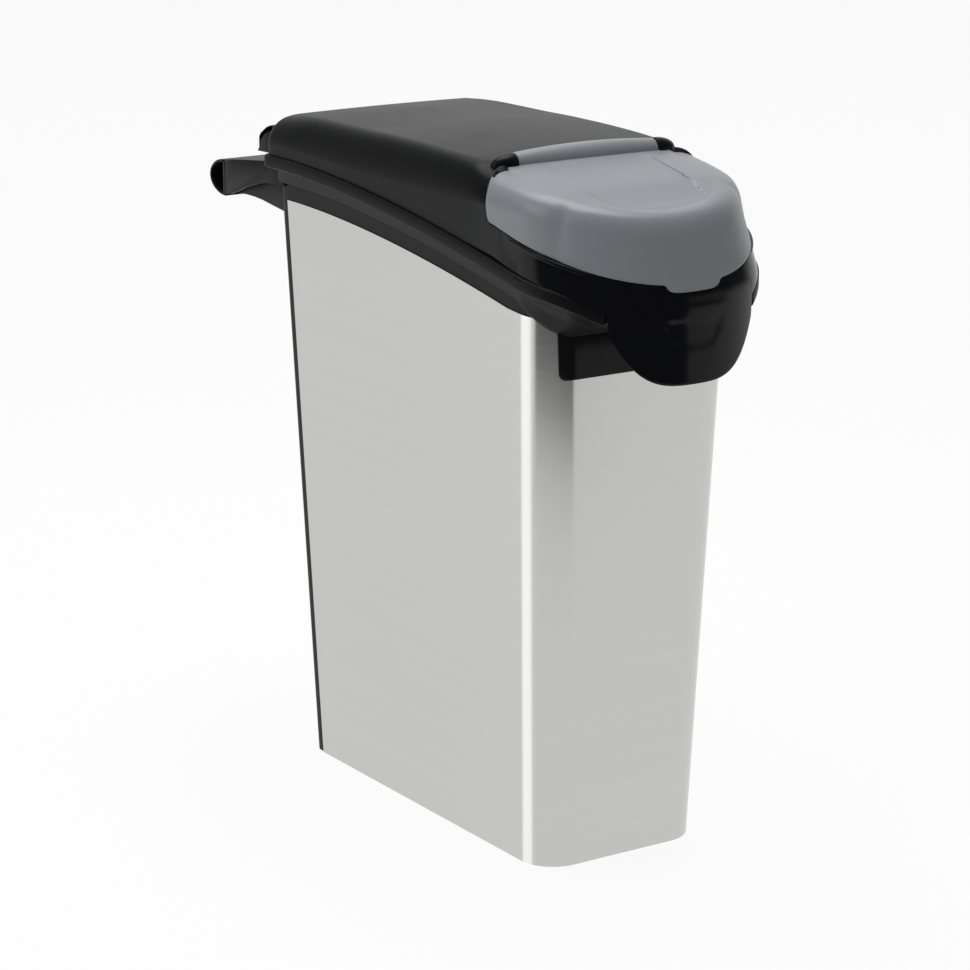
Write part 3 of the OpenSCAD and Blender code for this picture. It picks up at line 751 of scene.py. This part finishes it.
def deck_place(stop):
    """Point of the deck's outer edge, inside the lid's wall."""
    kind, v = stop
    w = S.rim_w - DECK_IN[0]
    if kind == "rear":
        return -w * DECK_SHARE * v, DECK_REAR
    if kind == "turn":
        t = (v - 90) / 90
        return -w * blend(DECK_SHARE, 1, clamp(2 * t)), blend(DECK_REAR, DECK_TURN, clamp(2 * t - 1))
    if kind == "side":
        return -w, blend(DECK_TURN, S.nose_y, v)
    a = math.radians(v)
    inset = blend(*DECK_IN, math.sin(a))
    return -(S.rim_w - inset) * math.cos(a), S.nose_y - (S.nose_l - inset) * math.sin(a)


def cover_skin(x, y):
    """Height just inside the flip lid's skin."""
    return top_z(x, y) - 1.5


def mouth_ring(corners, top=None):
    """A closed ring round the mouth. A corner is a place outwards and a height over the parting line."""
    ring = mirrored(len(MOUTH))

    def place(i, j):
        k, side = ring[i]
        grow, rise = corners[j % len(corners)]
        x, y = mouth_place(MOUTH[k], grow)
        z = part_z(y) + rise if rise > 0 or not top else top(x, y)
        return x * side, y, z

    return solid(len(ring), len(corners) + 1, place, 0.3)


def rim_ring(corners, round_by=0.4):
    """A closed ring round the rim. A corner is an inset and a height over the rim line."""
    ring = mirrored(len(COLUMNS))

    def place(i, j):
        k, side = ring[i]
        inset, rise = corners[j % len(corners)]
        x, y = rim_place(COLUMNS[k], inset)
        return x * side, y, line_z(rim_place(COLUMNS[k], 0)[1]) + rise

    return solid(len(ring), len(corners) + 1, place, round_by)


class BIN_OT_lid(bpy.types.Operator):
    """Builds the black lid: cover with its nose shield, pouring deck, hinge bosses and rear hood"""
    bl_idname = "bin.lid"
    bl_label = "Lid"

    def execute(self, context):
        def add(bm, name, sharp=38):
            finish_piece(bm, name, "main_lid", "lid", finish_of("lid"), sharp)

        bm = dome(False)
        thicken(bm, S.lid_wall)
        round_edges(bm, 0.35, 2, 60)
        add(bm, "lid_cover")
        ring = mirrored(len(MOUTH))
        rows = [("deck", 0, DECK_TOP), ("mouth", COLLAR_T, DECK_TOP), ("mouth", COLLAR_T, COLLAR_TOP),
                ("mouth", 0, COLLAR_TOP), ("mouth", 0, DECK_LOW), ("deck", 0, DECK_LOW)]

        def place(i, j):
            k, side = ring[i]
            kind, grow, rise = rows[j % len(rows)]
            x, y = deck_place(MOUTH[k]) if kind == "deck" else mouth_place(MOUTH[k], grow)
            return x * side, y, part_z(min(y, -112)) + rise

        add(solid(len(ring), len(rows) + 1, place, 0.5), "lid_pouring_deck")
        add(rim_ring([(4.4, 3.4), (11, 3.4), (11, 5.4), (4.4, 5.4)]), "lid_seat_flange")
        bulkhead = [(-83, 421), (-83, 437), (-80.5, 444), (-76, 448), (-70, 450), (-62, 451), (-56, 451),
                    (-54.5, 446)]
        bulkhead += [(-x, z) for x, z in reversed(bulkhead)]
        bm = plate(bulkhead, 0, 2.5)
        turn = Matrix.Rotation(math.radians(-90), 3, "Z")
        bmesh.ops.rotate(bm, verts=bm.verts, cent=(0, 0, 0), matrix=turn)
        bmesh.ops.translate(bm, verts=bm.verts, vec=(0, -98.5, 0))
        round_edges(bm, 0.3)
        add(bm, "lid_bulkhead")
        for side, name in ((-1, "left"), (1, "right")):
            add(self.boss(side), "lid_boss_" + name)
        add(self.hood(), "lid_hinge_hood")
        add(joined(*[self.knuckle(side, a, b) for side in (-1, 1) for a, b in ((47, 55.4), (69.6, 79.4))]),
            "lid_knuckles")
        return {"FINISHED"}

    def boss(self, side):
        """Half a teardrop with a flat inner face, on a small foot."""
        bm = bmesh.new()
        bmesh.ops.create_uvsphere(bm, u_segments=48, v_segments=32, radius=1)
        for v in bm.verts:
            x, y, z = v.co
            stretch = 14.5 if x * side > 0 else 9
            low = 1 + 0.35 * max(0, -z)
            v.co = (side * 56 + x * stretch, S.flip_y - 0.5 + y * 7.6 * low, S.flip_z + 0.2 + z * 7.2)
        cut = bmesh.ops.bisect_plane(bm, geom=bm.verts[:] + bm.edges[:] + bm.faces[:],
                                     plane_co=(side * (S.barrel_half + 0.5), 0, 0), plane_no=(-side, 0, 0),
                                     clear_outer=True)
        edges = [e for e in cut["geom_cut"] if isinstance(e, bmesh.types.BMEdge)]
        bmesh.ops.holes_fill(bm, edges=edges, sides=0)
        bmesh.ops.recalc_face_normals(bm, faces=bm.faces)
        round_edges(bm, 0.5, 2, 50)
        return bm

    def hood(self):
        """The raised hood behind the lid that covers the main hinge."""
        section = [(150, 446), (164, 449.6), (168, 449.2), (172.5, 447.6), (177, 445), (181, 442.4),
                   (182.6, 440.6), (183.1, 438), (183.1, 432.5), (185.5, 429.5), (183.8, 429.5), (181, 432),
                   (180.4, 437), (175, 442), (166, 445.5), (150, 443)]
        end_t = 2.4
        xs = spread(-S.hood_half, S.hood_half, 40)

        def place(i, j):
            y, z = section[j % len(section)]
            x = xs[i]
            arch = 2.6 * (1 - (x / S.hood_half) ** 2) * ease((z - 430) / 14)
            return x, y, z + arch

        bm = solid(len(xs), len(section) + 1, place)
        ends = [plate(section[1:10] + [(166, 430)], x0, x0 + end_t)
                for x0 in (-S.hood_half, S.hood_half - end_t)]
        close(bm)
        round_edges(bm, 0.5, 2, 35)
        for end in ends:
            round_edges(end, 0.4, 2, 60)
        return joined(bm, *ends)

    def knuckle(self, side, a, b):
        """A hinge knuckle of the lid under the hood."""
        x0, x1 = sorted((side * a, side * b))
        return pin_body(7.6, x0, x1, S.hinge_y, S.hinge_z)


# ---- tub ----
def front_share(column):
    """How far a column's rings belong to the front: all of it from 44 degrees on."""
    return clamp(column[1] / 44) if column[0] == "nose" else 0.0


def tub_row(kind, drop, front, grow=0.0, share=0.0, inset=0.0):
    """One ring of the tub's skin as a function of the column."""
    def place(column):
        x0, y0 = rim_place(column, 0)
        if kind == "foot":
            x, y = tub_place(column, drop, grow)
            return x, y, drop
        if kind == "flange":
            x, y = rim_place(column, inset)
            return x, y, line_z(y0) - drop
        gap = ease((SHIELD_HALF + 1 - abs(x0)) / 2.5) if column[0] == "nose" else 0.0
        if kind == "band":
            x, y = rim_place(column, blend(inset, LIP_IN, gap))
            return x, y, blend(rim_z(y0) - drop, front or line_z(y0), gap)
        f = front_share(column)
        z = (line_z(y0) - drop) * (1 - f) + front * f
        a, b = tub_place(column, z, grow), rim_place(column, inset)
        return blend(a[0], b[0], share * f), blend(a[1], b[1], share * f), z
    return place


class BIN_OT_tub(bpy.types.Operator):
    """Builds the black tub: wall, rim band, pouring lip, apron and hinge ears"""
    bl_idname = "bin.tub"
    bl_label = "Tub"

    def execute(self, context):
        def add(bm, name, finish="tub", sharp=38):
            finish_piece(bm, name, "bin", "tub", finish_of(finish), sharp)

        out = -S.sheet - 0.05
        inn = out - S.wall
        lip = LIP_IN
        back = lip + S.wall
        # kind of ring, its height or drop, its height in front, growth, share of the nose and inset
        rows = [tub_row(*row) for row in (
            ("foot", 0, 0, out - 1.2), ("foot", 0.8, 0, out),
            ("side", S.step_h + 0.8, 356, out, 0, lip), ("side", S.step_h + 0.2, 357, out + 0.7, 0, lip),
            ("side", S.step_h - 0.3, 359, 1.5, 0.06, lip), ("side", S.step_h - 1.1, 363, 2, 0.3, lip),
            ("side", S.band_h + 1.6, 368, 2, 0.66, lip), ("side", S.band_h + 0.4, 369, 2.8, 0.75, lip),
            ("band", S.band_h + 0.2, 373.5, 0, 0, 2.5), ("band", S.band_h, 374, 0, 0, 1),
            ("band", S.band_h - 1, 375), ("band", 1.3, 0), ("band", 0.4, 0, 0, 0, 0.4),
            ("band", 0, 0, 0, 0, 1.3),
            ("flange", 0, 0, 0, 0, 11.5), ("flange", 0.8, 0, 0, 0, 12.5), ("flange", 3, 0, 0, 0, 12.5),
            ("side", 6, 375.5, inn, 1, back + 0.4), ("side", 12, 371.5, inn, 0.75, back),
            ("side", 20, 366, inn, 0.3, back), ("side", 24, 360, inn, 0, back),
            ("foot", S.floor_t + 3, 0, inn), ("foot", S.floor_t + 0.6, 0, inn - 0.8),
            ("foot", S.floor_t, 0, inn - 3))]
        ring = mirrored(len(COLUMNS))

        def place(i, j):
            k, side = ring[i]
            x, y, z = rows[j](COLUMNS[k])
            return x * side, y, z

        bm = surface(len(ring), len(rows), place)
        close(bm)
        add(bm, "tub_body", sharp=42)
        add(self.apron(), "tub_apron", "apron")
        add(joined(*[self.ear(side) for side in (-1, 1)]), "tub_hinge_ears")
        return {"FINISHED"}

    def apron(self):
        """The black bib over the steel at the front, round at its lower corners."""
        r, proud, apron_top = 4.0, 1.2, 372
        stations = spread(-1, 1, 44)
        heights = spread(0, 1, 20)

        def edge(low):
            w = S.apron_half + 0.06 * low
            return w if low > r else w - r + math.sqrt(max(0.0, r * r - (r - low) ** 2))

        def place(i, j):
            z = blend(S.apron_z, apron_top, heights[j] ** 1.3)
            w, l = (half + proud for half in tub_half(z))
            c = S.front_r + proud
            reach = edge(z - S.apron_z)
            flat = w - c
            u = stations[i]
            # even steps along the flat front and round the corners
            arc = math.asin(clamp((reach - flat) / c)) if reach > flat else 0.0
            total = min(flat, reach) + arc * c
            s = abs(u) * total
            if s <= flat:
                x, y = s, -l
            else:
                a = (s - flat) / c
                x, y = flat + c * math.sin(a), -(l - c) - c * math.cos(a)
            return math.copysign(x, u), y, z

        bm = surface(len(stations), len(heights), place)
        face_out(bm, 1, -1)
        thicken(bm, 1.6)
        round_edges(bm, 0.4, 2, 60)
        return bm

    def ear(self, side):
        """A hinge ear behind the rim, on a small buttress."""
        r = 5.5
        x0, x1 = sorted((side * 56, side * 69))
        outline = [(S.hinge_y - r + 1, 420), (S.hinge_y + r - 1, 420)]
        outline += [(S.hinge_y + r * math.cos(math.radians(a)), S.hinge_z + r * math.sin(math.radians(a)))
                    for a in range(0, 181, 12)]
        bm = plate(outline, x0, x1)
        round_edges(bm, 0.5, 2, 60)
        return bm


class BIN_OT_handle(bpy.types.Operator):
    """Builds the rear carry handle: arms, webs, top plate with a hand hole, and the hollow grip"""
    bl_idname = "bin.handle"
    bl_label = "Handle"

    def execute(self, context):
        def add(bm, name):
            finish_piece(bm, name, "bin", "tub", finish_of("tub"))

        top = [(150, 424.6), (161, 425), (165, 425), (172, 424.4), (180, 423.2), (200, 421), (220, 418.6),
               (S.grip_y + 4, S.grip_top - 0.2)]
        under = [(S.grip_y + 4, 391.5), (226, 393.3), (215, 396.8), (205, 400.8), (194, 403.8), (184, 406.6),
                 (174, 408.3), (150, 409.5)]
        web = [(S.grip_y + 4, 391.5), (222, 392.6), (208, 392.6), (197, 391.9), (187, 390.7), (168, 388.5),
               (158, 387)]
        for side, name in ((-1, "left"), (1, "right")):
            for kind, place, low in (("arm", S.arm_x, under), ("web", S.web_x, web)):
                x0, x1 = sorted((side * place, side * (place - S.wall)))
                bm = plate(top + low if kind == "arm" else [(y, z - 0.5) for y, z in top[1:]] + low, x0, x1)
                round_edges(bm, 0.5, 2, 50)
                add(bm, "handle_%s_%s" % (kind, name))
        add(self.plate_with_hole(top), "handle_plate")
        add(self.grip(), "handle_grip")
        return {"FINISHED"}

    def plate_with_hole(self, top):
        """The top plate, with a long round-ended hole for the hand."""
        level = smooth(top)
        y0, y1 = 192.0, S.grip_y - 4
        r, mid = (y1 - y0) / 2, (y0 + y1) / 2
        front, rear, half, straight = 161.0, S.grip_y + 3, S.arm_x - 0.5, 34.0
        steps = 96

        def hole(a):
            x, y = math.cos(a), math.sin(a)
            return (straight if x > 0 else -straight) + r * x, mid + r * y

        def edge(a):
            x, y = hole(a)
            dy = y - mid
            reach = half / abs(x)
            if abs(dy) > 1e-6:
                reach = min(reach, ((rear if dy > 0 else front) - mid) / dy)
            return x * reach, mid + dy * reach

        rows = [(hole, 0), (edge, 0), (edge, -S.wall), (hole, -S.wall)]

        def place(i, j):
            make, drop = rows[j % len(rows)]
            x, y = make(math.tau * (i % steps) / steps)
            return x, y, level(y) - 0.05 + drop

        return solid(steps + 1, len(rows) + 1, place, 0.6, segments=3)

    def grip(self):
        """The hollow D-shaped grip bar, open at both ends."""
        mid = S.grip_top - S.grip_h / 2
        soft = 1.6

        def section(inset):
            rz, ry = S.grip_h / 2 - inset, S.grip_d - 2 - inset
            flat = S.grip_y + inset
            turns = [math.radians(a) for a in range(-90, 91, 6)]
            return ([(flat, mid + rz - soft), (flat, mid - rz + soft),
                     (flat + soft * 0.5, mid - rz + soft * 0.2)]
                    + [(S.grip_y + 2 + max(0.0, ry * math.cos(a)), mid + rz * math.sin(a)) for a in turns]
                    + [(flat + soft * 0.5, mid + rz - soft * 0.2)])

        rings = [(-79.2, 0), (79.2, 0), (79.7, 0.5), (79.7, 1.5), (79.2, 2), (-79.2, 2), (-79.7, 1.5),
                 (-79.7, 0.5)]
        loops = [section(inset) for _, inset in rings]

        def place(i, j):
            x = rings[j % len(rings)][0]
            y, z = loops[j % len(rings)][i % len(loops[0])]
            return x, y, z

        return solid(len(loops[0]) + 1, len(rings) + 1, place)


class BIN_OT_steel_wrap(bpy.types.Operator):
    """Builds the brushed steel sheet wrapped round the tub"""
    bl_idname = "bin.steel_wrap"
    bl_label = "Steel wrap"

    def execute(self, context):
        columns = ([("side", y) for y in spread(152, -140, 60)] + [("nose", a) for a in spread(0, 49.5, 44)]
                   + [("nose", a) for a in spread(49.5, 90, 16)[1:]])
        rows = 14
        foot, rim, behind = 0.6, 380, 345.0     # heights: lower edge, rim level, and edge behind the apron
        ring = [(k, 1) for k in range(len(columns))] + [(k, -1) for k in range(len(columns) - 2, -1, -1)]

        def place(i, j):
            k, side = ring[i]
            column = columns[k]
            x_rim, y_rim = tub_place(column, rim, 0)
            top = sheet_z(y_rim)
            if column[0] == "nose":
                top = blend(top, behind, ease(S.apron_half + 1.5 - abs(x_rim)))
            z = blend(foot, top, j / (rows - 1))
            x, y = tub_place(column, z, 0)
            if k == 0:
                y = tub_half(z)[1] - S.sheet_rear
            elif column[0] == "side" and column[1] > 0:
                y = min(y, tub_half(z)[1] - S.sheet_rear - 0.4 * k)
            return x * side, y, z

        bm = surface(len(ring), rows, place)
        face_out(bm, 1, -1)
        thicken(bm, S.sheet)
        finish_piece(bm, "steel_sheet", "bin", "steel_wrap", finish_of("steel"), 50)
        return {"FINISHED"}


class BIN_OT_small_parts(bpy.types.Operator):
    """Builds the two gaskets and the four hinge pins"""
    bl_idname = "bin.small_parts"
    bl_label = "Gaskets and pins"

    def execute(self, context):
        bm = rim_ring([(7, 0.35), (10.5, 0.35), (10.5, 3.35), (7, 3.35)], 0.9)
        finish_piece(bm, "lid_seal", "main_lid", "lid_gasket", finish_of("rubber"))
        bm = mouth_ring([(-1, 3.85), (3.5, 3.85), (3.5, 6.35), (-1, 6.35)])
        finish_piece(bm, "spout_seal", "flip", "spout_gasket", finish_of("rubber"))
        pins = (("lid_", "main_lid", "lid_hinge_pin_", 53.5, 77.5, S.hinge_pin_r, S.hinge_y, S.hinge_z),
                ("flip_", "flip", "flip_hinge_pin_", 48, 62.5, S.flip_pin_r, S.flip_y, S.flip_z))
        for side, name in ((-1, "left"), (1, "right")):
            for kind, body, node, a, b, r, y, z in pins:
                bm = pin_body(r, *sorted((side * a, side * b)), y, z)
                finish_piece(bm, kind + "pin_" + name, body, node + name, finish_of("pin"))
        return {"FINISHED"}


LENS = 122.28                                       # the camera fitted to the photo, in mm and metres
CAMERA_PLACE = (-1.19503, -1.79694, 0.79513)
CAMERA_AIM = (0.53097, 0.80716, -0.25799)


class BIN_OT_stage(bpy.types.Operator):
    """Sets the pale floor, the soft studio light and the camera"""
    bl_idname = "bin.stage"
    bl_label = "Stage"

    def execute(self, context):
        scene = context.scene
        scene.view_settings.view_transform = "Standard"
        self.camera(scene)
        self.floor(scene)
        self.world(scene)
        self.lamp(scene, "overhead", (0.1, 0.35, 2.3), 1.5, 34)
        self.lamp(scene, "left", (-2.0, 0.2, 1.6), 1.0, 9)
        self.card(scene, "black_flag", 12, 114, 1.0, 0.0, 1.2, 0.05)
        self.card(scene, "white_card", -40, -2, 1.05, -0.6, 0.5, 1.55)
        return {"FINISHED"}

    def camera(self, scene):
        data = bpy.data.cameras.new("photo_camera")
        data.lens = LENS
        data.sensor_width = 36
        data.clip_end = 50
        camera = bpy.data.objects.new("photo_camera", data)
        camera.location = CAMERA_PLACE
        camera.rotation_euler = Vector(CAMERA_AIM).to_track_quat("-Z", "Y").to_euler()
        scene.collection.objects.link(camera)
        scene.camera = camera

    def show(self, scene, name, bm, finish):
        mesh = bpy.data.meshes.new(name)
        bm.to_mesh(mesh)
        bm.free()
        mesh.materials.append(finish.material)
        made = bpy.data.objects.new(name, mesh)
        scene.collection.objects.link(made)
        return made

    def floor(self, scene):
        bm = bmesh.new()
        bmesh.ops.create_grid(bm, x_segments=1, y_segments=1, size=20)
        f = Finish("finish_floor", Roughness=0.9)
        f.drive("Base Color", rgba(scene.bin_colours.floor))
        path = f.add("ShaderNodeLightPath")
        seen = path.out("Is Camera Ray") + path.out("Is Glossy Ray") + path.out("Is Transmission Ray")
        glow = f.add("ShaderNodeEmission", None, {"Color": (1, 1, 1, 1), "Strength": 1.0})
        blend_node = f.add("ShaderNodeMixShader", None, {
            0: seen * 0.93, 1: Value(f, f.shader.outputs[0]), 2: glow.out()})
        f.surface(blend_node)
        floor = self.show(scene, "floor", bm, f)
        floor.visible_glossy = False

    def card(self, scene, name, start, end, reach, low, high, glow):
        """A curved card that only shows in reflections, between two angles from the left side."""
        bm = bmesh.new()
        bmesh.ops.create_grid(bm, x_segments=24, y_segments=1, size=1)
        for v in bm.verts:
            a = math.radians(blend(start, end, (v.co.x + 1) / 2))
            v.co = (-reach * math.cos(a), -reach * math.sin(a), blend(low, high, (v.co.y + 1) / 2))
        f = Finish("finish_" + name)
        f.surface(f.add("ShaderNodeEmission", None, {"Color": (1, 1, 1, 1), "Strength": glow}))
        card = self.show(scene, name, bm, f)
        for way in ("camera", "diffuse", "transmission", "volume_scatter", "shadow"):
            setattr(card, "visible_" + way, False)

    def world(self, scene):
        world = bpy.data.worlds.new("studio")
        world.use_nodes = True
        scene.world = world
        tree = world.node_tree
        back = tree.nodes["Background"]
        back.inputs["Color"].default_value = (1, 1, 1, 1)

        def add(kind, settings, inputs):
            node = tree.nodes.new(kind)
            for key, value in settings.items():
                setattr(node, key, value)
            for key, value in inputs.items():
                if hasattr(value, "default_value"):
                    tree.links.new(value, node.inputs[key])
                else:
                    node.inputs[key].default_value = value
            return node.outputs[0]

        def smoothstep(value, low, high, to_low, to_high):
            return add("ShaderNodeMapRange", {"interpolation_type": "SMOOTHSTEP"}, {
                "Value": value, "From Min": low, "From Max": high, "To Min": to_low, "To Max": to_high})

        path = tree.nodes.new("ShaderNodeLightPath")
        way = tree.nodes.new("ShaderNodeTexCoord").outputs["Generated"]
        split = tree.nodes.new("ShaderNodeSeparateXYZ")
        tree.links.new(way, split.inputs[0])
        # reflections see a white table and a white backdrop behind, and a darker room elsewhere
        rear = add("ShaderNodeVectorMath", {"operation": "DOT_PRODUCT"}, {0: way, 1: (0.55, 0.835, 0.0)})
        rear = rear.node.outputs["Value"]
        table = smoothstep(split.outputs["Z"], -0.16, 0.04, 0.9, 0.0)
        sweep = smoothstep(rear, 0.45, 0.8, 0.0, 0.9)
        room = add("ShaderNodeMath", {"operation": "MAXIMUM"}, {0: table, 1: sweep})
        room = add("ShaderNodeMath", {"operation": "MAXIMUM"}, {0: room, 1: 0.07})
        lit = smoothstep(path.outputs["Is Diffuse Ray"], 0, 1, 1.0, 0.35)
        glossy = add("ShaderNodeMix", {"data_type": "FLOAT"},
                     {0: path.outputs["Is Glossy Ray"], 2: lit, 3: room})
        tree.links.new(glossy, back.inputs["Strength"])

    def lamp(self, scene, name, place, span, power):
        data = bpy.data.lights.new(name, "AREA")
        data.shape = "RECTANGLE"
        data.size = span
        data.size_y = span
        data.energy = power
        lamp = bpy.data.objects.new(name, data)
        lamp.location = place
        aim = Vector((0, 0, 0.25)) - Vector(place)
        lamp.rotation_euler = aim.to_track_quat("-Z", "Y").to_euler()
        scene.collection.objects.link(lamp)


class BIN_PT_panel(bpy.types.Panel):
    """Lists the bin's pieces, sizes and colours"""
    bl_idname = "BIN_PT_panel"
    bl_label = "Flip-spout bin"
    bl_space_type = "VIEW_3D"
    bl_region_type = "UI"
    bl_category = "Bin"

    def draw(self, context):
        for step in STEPS:
            self.layout.operator("bin." + step)
        for group in (context.scene.bin_sizes, context.scene.bin_colours):
            box = self.layout.box()
            for key in group.__annotations__:
                box.prop(group, key)


STEPS = ("tub", "handle", "steel_wrap", "lid", "flip_lid", "small_parts", "stage")
CLASSES = (BinSizes, BinColours, BIN_OT_tub, BIN_OT_handle, BIN_OT_steel_wrap, BIN_OT_lid, BIN_OT_flip_lid,
           BIN_OT_small_parts, BIN_OT_stage, BIN_PT_panel)


def register():
    for cls in CLASSES:
        bpy.utils.register_class(cls)
    bpy.types.Scene.bin_sizes = PointerProperty(type=BinSizes)
    bpy.types.Scene.bin_colours = PointerProperty(type=BinColours)


def unregister():
    del bpy.types.Scene.bin_colours
    del bpy.types.Scene.bin_sizes
    for cls in reversed(CLASSES):
        bpy.utils.unregister_class(cls)


def main():
    register()
    for step in STEPS:
        getattr(bpy.ops.bin, step)()


if __name__ == "__main__":
    main()
